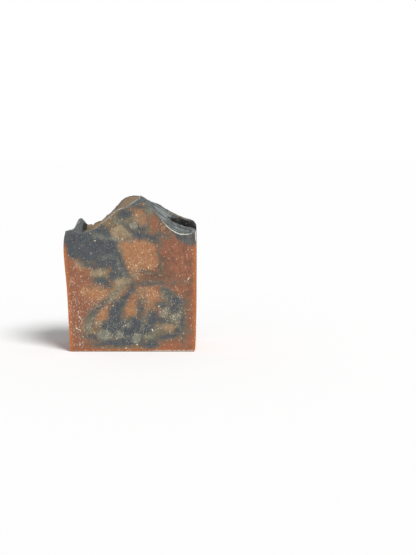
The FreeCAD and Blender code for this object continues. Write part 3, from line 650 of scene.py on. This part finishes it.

# the lips of the folds, in mm: most run along the folds of the imported solid. cliff says which side is steep,
# 1 for the left of the path's direction and -1 for the right. lean pushes the lip over the steep side.
# pale sets how strong the painted highlight along each lip is
foldStrokes = [
    {"path": [(-7.0, -13.5), (-1.4, -8.6), (1.9, -1.0), (3.8, 6.0), (3.9, 13.5)],
     "rise": 0.25, "gentle": 1.6, "steep": 0.35, "lean": 0.35, "cliff": 1, "paleAndHighlight": 1.6},
    {"path": [(-15.0, -13.5), (-12.2, -6.8), (-9.0, 0.0), (-6.4, 6.0)],
     "rise": 0.2, "gentle": 1.6, "steep": 0.35, "lean": 0.3, "cliff": 1, "paleAndHighlight": 0.6},
    {"path": [(-23.0, -10.5), (-20.6, -5.0), (-18.0, 0.0), (-15.4, 6.8), (-13.5, 13.5)],
     "rise": 0.2, "gentle": 1.6, "steep": 0.35, "lean": 0.3, "cliff": 1, "paleAndHighlight": 0.5},
    {"path": [(7.0, -9.0), (13.5, -5.0), (21.0, -2.2), (28.0, -1.1), (34.5, -1.0)],
     "rise": 0.3, "gentle": 1.8, "steep": 0.4, "lean": 0.5, "cliff": 1, "paleAndHighlight": 1.1},
    {"path": [(9.0, -11.0), (14.0, -9.4), (20.0, -8.5), (27.0, -7.8), (34.0, -7.4)],
     "rise": 0.25, "gentle": 1.4, "steep": 0.35, "lean": 0.25, "cliff": 1, "paleAndHighlight": 1.1},
    {"path": [(9.0, -12.9), (16.0, -11.6), (24.0, -10.8), (31.0, -10.6)],
     "rise": 0.25, "gentle": 1.1, "steep": 0.3, "lean": 0.0, "cliff": 1, "paleAndHighlight": 0.8},
    {"path": [(7.5, -6.0), (13.0, -2.6), (19.0, -0.6), (24.0, 0.0)],
     "rise": 0.25, "gentle": 1.2, "steep": 0.35, "lean": 0.2, "cliff": 1, "paleAndHighlight": 1.0},
    {"path": [(8.0, 12.6), (13.0, 10.9), (23.0, 10.2), (34.0, 9.8)],
     "rise": 0.25, "gentle": 2.0, "steep": 0.45, "lean": 0.7, "cliff": -1, "paleAndHighlight": 0.8},
    {"path": [(6.0, 8.0), (11.0, 5.5), (16.0, 4.2), (21.0, 4.0)],
     "rise": 0.3, "gentle": 1.8, "steep": 0.4, "lean": 0.3, "cliff": 1, "paleAndHighlight": 0.9},
    {"path": [(9.5, 12.9), (14.0, 13.3), (22.0, 13.3), (29.0, 12.9)],
     "rise": 0.6, "gentle": 2.0, "steep": 0.6, "lean": 0.0, "cliff": 1, "paleAndHighlight": 0.5},
    {"path": [(-14.0, -13.0), (-10.5, -8.0), (-6.0, -4.0), (-2.0, 2.0)],
     "rise": 0.2, "gentle": 1.4, "steep": 0.35, "lean": 0.1, "cliff": -1, "paleAndHighlight": 0.4},
    {"path": [(-1.0, -13.2), (3.0, -9.0), (5.5, -3.0), (7.0, 3.0), (7.5, 9.0)],
     "rise": 0.2, "gentle": 1.4, "steep": 0.35, "lean": 0.1, "cliff": -1, "paleAndHighlight": 0.7},
]

# creases, in mm
creaseStrokes = [
    {"path": [(-26.6, -10.5), (-26.2, -4.0), (-26.0, 4.0), (-25.4, 12.0)], "depth": 0.3, "width": 0.7},
    {"path": [(31.4, -12.6), (31.6, -8.0), (32.2, -3.0)], "depth": 0.35, "width": 0.8},
    {"path": [(24.0, 1.5), (29.0, 2.6), (34.5, 2.8)], "depth": 0.8, "width": 0.9},
    {"path": [(-19.0, 12.6), (-13.0, 13.2), (-9.5, 13.4), (-5.5, 12.9)], "depth": 0.6, "width": 1.8},
]

# tints of the worked top: what it feeds, middle across and back, half sizes, turn in degrees, strength
topTints = [
    ("warm", -18.0, 0.0, 7.0, 14.0, 0, 0.8),
    ("warm", -21.0, 10.5, 5.5, 7.0, 0, 1.2),
    ("warm", 24.5, 12.8, 5.0, 1.4, 0, 1.0),
    # painted highlight on the right slope and the right rim, and a pale patch on the fin's left side
    ("paleAndHighlight", 17.0, -6.0, 9.0, 6.0, -12, 0.45),
    ("paleAndHighlight", 16.5, 7.0, 5.5, 5.0, -12, 0.85),
    ("paleAndHighlight", 12.0, 2.0, 5.0, 3.0, -30, 0.5),
    ("paleAndHighlight", -31.2, 8.0, 2.6, 7.0, 0, 1.2),
    ("paleAndHighlight", 33.6, -8.0, 1.8, 5.0, 0, 0.7),
    # painted shade: the hollow, the valley left of the crest, the crevice right of the fin and the black end
    # of the rear ridge
    ("paintedShade", 29.2, 5.4, 8.4, 4.8, 0, 1.6),
    ("paintedShade", -23.2, 2.0, 3.0, 11.0, 0, 0.42),
    ("paintedShade", -26.2, 7.0, 1.2, 7.0, 0, 0.9),
    ("paintedShade", 33.8, 10.0, 2.4, 4.4, 0, 1.4),
]

# the left end of the top, in mm: a flat rim in front, and behind it a fin that the spoon pulled up
leftEnd = {
    "across": [-34.6, -33.5, -32.3, -31.2, -30.2, -29.1, -28.0, -27.0, -26.0, -24.8, -23.0, -20.0],
    "back": [-13.5, -7.0, 0.0, 7.0, 13.5],
    "heights": [
        [63.4, 64.9, 65.2, 65.2, 65.1, 64.7, 64.2, 63.9, 63.8, 63.9, 64.0, 64.9],
        [63.0, 64.5, 64.9, 65.0, 65.3, 65.3, 64.6, 63.8, 63.5, 63.8, 64.2, 65.2],
        [62.6, 63.5, 64.0, 64.8, 66.0, 66.7, 66.0, 64.4, 63.4, 63.7, 64.3, 65.5],
        [62.3, 63.0, 63.8, 65.3, 67.3, 68.5, 67.7, 65.5, 63.7, 63.9, 64.7, 66.2],
        [62.0, 63.0, 64.6, 67.5, 69.0, 69.4, 68.8, 67.5, 66.2, 65.8, 66.2, 67.0],
    ],
    "rounds": 10,  # of softening
    "blend": (-24.0, -21.5),  # from here to here it gives way to the solid's top
}


def pathPlaces(path, x, y):
    # for each place: distance to the path, positive on its left, the share of the path passed, and its length
    best = np.full(x.shape, np.inf)
    side = np.zeros(x.shape)
    along = np.zeros(x.shape)
    run = 0.0
    for (startX, startY), (endX, endY) in zip(path, path[1:]):
        stepX, stepY = endX - startX, endY - startY
        length = math.hypot(stepX, stepY)
        share = np.clip(((x - startX) * stepX + (y - startY) * stepY) / length ** 2, 0, 1)
        awayX, awayY = x - startX - share * stepX, y - startY - share * stepY
        away = np.hypot(awayX, awayY)
        left = np.where(stepX * awayY - stepY * awayX >= 0, 1.0, -1.0)
        nearer = away < best
        best = np.where(nearer, away, best)
        side = np.where(nearer, left, side)
        along = np.where(nearer, run + share * length, along)
        run += length
    return best * side, along / run, run


def smoothStep(low, high, value):
    share = np.clip((value - low) / (high - low), 0, 1)
    return share * share * (3 - 2 * share)


def hump(value, middle, width):
    return np.exp(-((value - middle) / width) ** 2)


def waves(x, y, z, scale, octaves=3):
    # noise at each place, about -1 to 1
    spots = zip(x.ravel() * scale, y.ravel() * scale, z.ravel())
    flat = [noise.fractal(spot, 0.9, 2.0, octaves) for spot in spots]
    return np.array(flat).reshape(x.shape)


def soften(grid, rounds):
    for _ in range(rounds):
        wide = np.pad(grid, 1, mode="edge")
        grid = (wide[:-2, 1:-1] + wide[2:, 1:-1] + wide[1:-1, :-2] + wide[1:-1, 2:] + 2 * grid) / 6
    return grid


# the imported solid, read by rays
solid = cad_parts["soap_bar"]
solidTree = BVHTree.FromPolygons(
    [v.co.copy() for v in solid.data.vertices], [tuple(p.vertices) for p in solid.data.polygons]
)


def rayFrom(start, direction):
    # where a ray meets the solid, in mm
    return solidTree.ray_cast(Vector(start) * mm, Vector(direction))[0] / mm


profileHeights = np.linspace(0.0, barSet["sideTop"], barSet["profileSteps"])
readHeights = np.maximum(profileHeights, barSet["lowestRead"])
leftProfile = np.array([rayFrom((-100, 0, height), (1, 0, 0)).x for height in readHeights])
rightProfile = np.array([rayFrom((100, 0, height), (-1, 0, 0)).x for height in readHeights])

# the block, cut along each direction in two goes
bpy.ops.object.select_all(action="DESELECT")
bpy.ops.mesh.primitive_cube_add(size=1.0, location=(0, 0, 0))
bar = bpy.context.object
bar.name = "marbled_soap_bar"
bar.data.name = "marbled_soap_bar"
bpy.ops.object.mode_set(mode="EDIT")
bpy.ops.mesh.select_mode(type="EDGE")
for axis, rows in enumerate(barSet["rows"]):
    for cuts in (barSet["firstCuts"], rows // (barSet["firstCuts"] + 1) - 1):
        bpy.ops.mesh.select_all(action="DESELECT")
        work = bmesh.from_edit_mesh(bar.data)
        for line in work.edges:
            line.select_set(abs(line.verts[1].co[axis] - line.verts[0].co[axis]) > 1e-5)
        bmesh.update_edit_mesh(bar.data)
        bpy.ops.mesh.subdivide(number_cuts=cuts)
bpy.ops.mesh.select_mode(type="FACE")
bpy.ops.mesh.select_all(action="DESELECT")
work = bmesh.from_edit_mesh(bar.data)
for face in work.faces:
    face.select_set(face.calc_center_median().z < -0.4999)
bmesh.update_edit_mesh(bar.data)
bpy.ops.mesh.dissolve_faces()
bpy.ops.object.mode_set(mode="OBJECT")
print("block cut into", len(bar.data.polygons), "faces")

places = np.empty(len(bar.data.vertices) * 3)
bar.data.vertices.foreach_get("co", places)
steps = np.rint((places.reshape(-1, 3) + 0.5) * barSet["rows"]).astype(int)
shares = []
for rows, amount in zip(barSet["rows"], barSet["crowd"]):
    even = np.arange(rows + 1) / rows
    shares.append(even - amount * np.sin(2 * math.pi * even) / (2 * math.pi))
lastY, lastZ = barSet["rows"][1:]
onFace = {"front": steps[:, 1] == 0, "back": steps[:, 1] == lastY, "top": steps[:, 2] == lastZ}

# the top as a grid of heights in mm
gridX = barSet["topLeft"] + shares[0] * (barSet["topRight"] - barSet["topLeft"])
gridY = frontY + shares[1] * (backY - frontY)
planX, planY = np.meshgrid(gridX, gridY, indexing="ij")
heights = np.zeros(planX.shape)
inset = barSet["readInset"]
safeX = np.clip(gridX, gridX[0] + inset, gridX[-1] - inset)
safeY = np.clip(gridY, gridY[0] + inset, gridY[-1] - inset)
for column, x in enumerate(safeX):
    for row, y in enumerate(safeY):
        heights[column, row] = rayFrom((x, y, 200), (0, 0, -1)).z
print("top read from the solid, from", round(heights.min(), 1), "to", round(heights.max(), 1), "mm")

netRows = np.array([np.interp(gridX, leftEnd["across"], values) for values in leftEnd["heights"]])
net = np.array([np.interp(gridY, leftEnd["back"], netRows[:, column]) for column in range(gridX.size)])
net = soften(net, leftEnd["rounds"])
heights = net + (heights - net) * smoothStep(*leftEnd["blend"], planX)

level = np.zeros_like(planX)
strayX = topSet["stray"] * waves(planX, planY, level + 1.7, 0.16, 2)
strayY = topSet["stray"] * waves(planX, planY, level + 7.3, 0.16, 2)
strokeSum = np.zeros_like(planX)
leanX = np.zeros_like(planX)
leanY = np.zeros_like(planX)
tints = {name: np.zeros_like(planX) for name in ("warm", "paleAndHighlight", "paintedShade", "burrAndHighlight")}
flowWeight = np.full_like(planX, lipSet["flowBase"])
flowAlong = planX * flowWeight
flowAcross = planY * flowWeight
for number, stroke in enumerate(foldStrokes):
    offset, along, length = pathPlaces(stroke["path"], planX + strayX, planY + strayY)
    offset = -offset * stroke["cliff"]  # positive on the gentle side
    startY = stroke["path"][0][1]
    endX, endY = stroke["path"][-1]
    atStart = along < lipSet["endShare"]
    atEnd = along > 1 - lipSet["endShare"]
    fade = smoothStep(0.0, lipSet["endShare"], along) * smoothStep(1.0, 1 - lipSet["endShare"], along)
    fade = np.where(atStart & (abs(startY) > lipSet["cutFace"]), 1.0, fade)
    fade = np.where(atEnd & (abs(endY) > lipSet["cutFace"]), 1.0, fade)
    fade = np.where(atEnd & (abs(endX) > lipSet["mouldSide"]), lipSet["mouldFade"], fade)
    fade = fade * (1 + lipSet["uneven"] * waves(along * length, level, level + number, 0.3, 2))
    gentle = np.exp(-np.clip(offset, 0, None) / stroke["gentle"])
    steep = hump(np.clip(-offset, 0, None), 0.0, stroke["steep"])
    strokeSum += stroke["rise"] * fade * np.where(offset >= 0, gentle, steep)
    slopeX = np.gradient(offset, gridX, axis=0)
    slopeY = np.gradient(offset, gridY, axis=1)
    push = stroke["lean"] * fade * hump(offset, 0.0, lipSet["leanReach"])
    leanX -= push * np.clip(slopeX, -1, 1)
    leanY -= push * np.clip(slopeY, -1, 1)
    # painted highlight on the gentle side of the lip
    highlightLine = stroke["paleAndHighlight"] * fade * hump(offset, *lipSet["highlightLine"])
    # painted shade on the steep side of the lip
    creviceShadeLine = lipSet["creviceShadeStrength"] * fade * hump(offset, *lipSet["creviceShadeLine"])
    tints["paleAndHighlight"] = np.maximum(tints["paleAndHighlight"], highlightLine)
    tints["paintedShade"] = np.maximum(tints["paintedShade"], creviceShadeLine)
    weight = hump(offset, 0.0, lipSet["flowReach"]) * np.where((along > 0) & (along < 1), 1.0, 0.2)
    flowWeight += weight
    flowAlong += weight * (along * length + number * 3.0)
    flowAcross += weight * (offset + number * 2.0)
flowAlong = flowAlong / flowWeight
flowAcross = flowAcross / flowWeight

tintEdge = 0.3 * waves(planX, planY, level + 9, 0.35, 3)
for stroke in creaseStrokes:
    offset, along = pathPlaces(stroke["path"], planX + strayX * 0.5, planY + strayY * 0.5)[:2]
    fade = smoothStep(0.0, 0.2, along) * smoothStep(1.0, 0.8, along)
    crease = hump(offset, 0.0, stroke["width"]) * fade
    strokeSum -= stroke["depth"] * crease
    # painted shade along the crease
    tints["paintedShade"] = np.maximum(tints["paintedShade"], 0.6 * crease * (1 + tintEdge))

for name, middleX, middleY, halfX, halfY, turn, strength in topTints:
    awayX, awayY = planX - middleX, planY - middleY
    turnCos, turnSin = math.cos(math.radians(turn)), math.sin(math.radians(turn))
    turnedX = awayX * turnCos + awayY * turnSin
    turnedY = awayY * turnCos - awayX * turnSin
    reach = np.hypot(turnedX / halfX, turnedY / halfY) + tintEdge
    tints[name] = np.maximum(tints[name], strength * smoothStep(1.35, 0.55, reach))

# the tan face to the left of the crest, from the front rim to the far corner of the crest
offset = pathPlaces(topSet["crestPath"], planX, planY)[0]
faceTint = (0.65 + 0.5 * smoothStep(10.0, 7.0, offset)) * smoothStep(0.0, 0.6, offset)
tints["warm"] = np.maximum(tints["warm"], faceTint * smoothStep(17.0, 11.0, offset))

# painted shade darkens the far edge of the left flank, and a pale burr with painted highlight lines the front
# rim, strongest on the low right part
farEdgeShade = smoothStep(2.2, 0.6, backY - planY) * smoothStep(9, 3, planX) * smoothStep(-24, -20, planX)
tints["paintedShade"] = np.maximum(tints["paintedShade"], 0.85 * farEdgeShade)
rimBurrAndHighlight = 0.5 + 0.5 * smoothStep(16, 20, gridX) * smoothStep(34, 31, gridX)
rimBurrAndHighlight = np.maximum(rimBurrAndHighlight, 0.72 * smoothStep(-24, -19, gridX) * smoothStep(1, -4, gridX))
tints["burrAndHighlight"] = rimBurrAndHighlight[:, None] * smoothStep(1.0, 0.2, planY - frontY)

# lumps, fine lines along the folds and a ragged rim
sideGap = np.minimum(planX - gridX[0], gridX[-1] - planX)
endGap = np.minimum(planY - gridY[0], gridY[-1] - planY)
lumps = topSet["lumps"] * waves(planX, planY, level + 3, 0.22, 3)
lumps = lumps * (0.3 + 0.7 * smoothStep(0, 4, backY - planY))
lines = topSet["lines"] * waves(flowAlong * 0.12, flowAcross, level, 1.6, 3)
rimJag = topSet["rimJag"] * waves(planX, level, level + 5, 1.1, 3) * smoothStep(0.8, 0.0, endGap)
heights = heights + (strokeSum + lumps) * (0.35 + 0.65 * smoothStep(0, 1.5, sideGap)) + lines + rimJag
heights = np.minimum(heights, cadHigh.z / mm - topSet["belowPeak"])
awayFromRim = smoothStep(0.0, 1.6, sideGap) * smoothStep(0.0, 1.6, endGap)
leanX *= awayFromRim
leanY *= awayFromRim

skinDepth = topSet["skinDepth"]
for extra, growFrom, growTo in (topSet["skinRight"], topSet["skinLeft"]):
    skinDepth = skinDepth + extra * smoothStep(growFrom, growTo, gridX)

# shape every point of the block
column, row = steps[:, 0], steps[:, 1]
topHere = heights[column, row]
z = shares[2][steps[:, 2]] * topHere
leftHere = np.interp(z, profileHeights, leftProfile)
rightHere = np.interp(z, profileHeights, rightProfile)
turnIn = smoothStep(0, 1, (z - barSet["sideTop"]) / np.maximum(topHere - barSet["sideTop"], 0.5))
leftHere = leftHere + (barSet["topLeft"] - leftHere) * turnIn
rightHere = rightHere + (barSet["topRight"] - rightHere) * turnIn
x = leftHere + shares[0][column] * (rightHere - leftHere)
y = gridY[row]
x = x + np.where(onFace["top"], leanX[column, row], 0)
y = y + np.where(onFace["top"], leanY[column, row], 0)
shaped = np.stack([x, y, z], axis=1) * mm
bar.data.vertices.foreach_set("co", shaped.ravel())


def addAttribute(name, values):
    layer = bar.data.attributes.new(name, "FLOAT", "POINT")
    layer.data.foreach_set("value", values.astype(np.float32))


cutFaces = onFace["front"] | onFace["back"]
for name in ("warm", "paleAndHighlight", "paintedShade"):
    addAttribute(name, tints[name][column, row] * onFace["top"])
# a pale burr along the base, and pale burr with painted highlight under the rim and down the upper right
# corner
belowTop = topHere - z
edgeBurrAndHighlight = (0.5 + 0.3 * smoothStep(8, 14, x)) * smoothStep(1.0, 0.7, z) * smoothStep(0.2, 0.4, z)
edgeBurrAndHighlight = np.maximum(edgeBurrAndHighlight, rimBurrAndHighlight[column] * smoothStep(0.7, 0.1, belowTop))
edgeBurrAndHighlight = np.maximum(edgeBurrAndHighlight, smoothStep(0.9, 0.2, rightHere - x) * smoothStep(58, 61, z))
addAttribute("burrAndHighlight", np.maximum(tints["burrAndHighlight"][column, row] * onFace["top"], edgeBurrAndHighlight * cutFaces))
belowRim = np.maximum(topHere, topSet["skinLevel"]) - z  # the hollow barely lowers the skin
skinWave = waves(planX, planY, level + 11, 0.12, 3)[column, row]
skinShare = 0.5 + (skinDepth[column] * (1 + 0.2 * skinWave) - belowRim) / 3.0
addAttribute("underSkin", np.clip(skinShare, 0, 1))
# painted shade along the base
addAttribute("baseShade", smoothStep(0.5, 0.25, z))
edgeGap = np.minimum(np.minimum(x - leftHere, rightHere - x), z + 0.4)
addAttribute("nearEdge", hump(edgeGap, 0.0, 1.5) * smoothStep(60.0, 55.0, z))
flowLayer = bar.data.attributes.new("flow", "FLOAT_VECTOR", "POINT")
flowValues = np.stack([flowAlong[column, row], flowAcross[column, row], level[column, row]], axis=1)
flowLayer.data.foreach_set("vector", flowValues.astype(np.float32).ravel())
bar.data.update()
print("bar shaped, its top now reaches", round(z.max(), 2), "mm")

# one material for each kind of face: cut, worked top, moulded
for material in (cutMaterial, skinMaterial, mouldMaterial):
    bar.data.materials.append(material)
onTop = onFace["top"].tolist()
onCut = cutFaces.tolist()
for face in bar.data.polygons:
    corners = face.vertices
    if all(onTop[corner] for corner in corners):
        face.material_index = 1
    elif all(onCut[corner] for corner in corners):
        face.material_index = 0
    else:
        face.material_index = 2

bpy.ops.object.select_all(action="DESELECT")
bar.select_set(True)
bpy.context.view_layer.objects.active = bar
bpy.ops.object.shade_smooth_by_angle(angle=math.radians(barSet["smoothAngle"]))
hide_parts("soap_bar")
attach(bar, "root")
print("bar finished with", len(bar.data.polygons), "faces")


# floor and light
stageSet = {
    "floorSize": 8.0,
    "floorWhite": 1.0,
    "skyLevel": 0.36,
    "sunLevel": 2.5,
    "sunWidth": 24.0,  # degrees
    "sunFrom": (0.55, -0.60, 1.05),
}
bpy.ops.object.select_all(action="DESELECT")
bpy.ops.mesh.primitive_plane_add(size=stageSet["floorSize"], location=(0, 0, 0))
floor = bpy.context.object
floor.name = "paleFloor"
floorMaterial, tree, shader = newMaterial("paleFloor", {"Roughness": 0.9, "Specular IOR Level": 0.0})
whiteLevel = stageSet["floorWhite"]
shader.inputs["Base Color"].default_value = (whiteLevel, whiteLevel, whiteLevel, 1)
floor.data.materials.append(floorMaterial)

world = bpy.data.worlds.new("studio")
bpy.context.scene.world = world
world.use_nodes = True
tree = world.node_tree
tree.nodes.clear()
seen = put(tree, "ShaderNodeLightPath").outputs["Is Camera Ray"]
soft = put(tree, "ShaderNodeBackground", {"Color": (1, 1, 1, 1), "Strength": stageSet["skyLevel"]})
white = put(tree, "ShaderNodeBackground", {"Color": (1, 1, 1, 1), "Strength": 1.0})
chosenSky = put(tree, "ShaderNodeMixShader", {0: seen, 1: soft.outputs[0], 2: white.outputs[0]})
put(tree, "ShaderNodeOutputWorld", {0: chosenSky.outputs[0]})

keyData = bpy.data.lights.new("keyLight", "SUN")
keyData.energy = stageSet["sunLevel"]
keyData.angle = math.radians(stageSet["sunWidth"])
keyLight = bpy.data.objects.new("keyLight", keyData)
keyLight.rotation_euler = Vector(stageSet["sunFrom"]).to_track_quat("Z", "Y").to_euler()
bpy.context.scene.collection.objects.link(keyLight)
print("floor and light set")
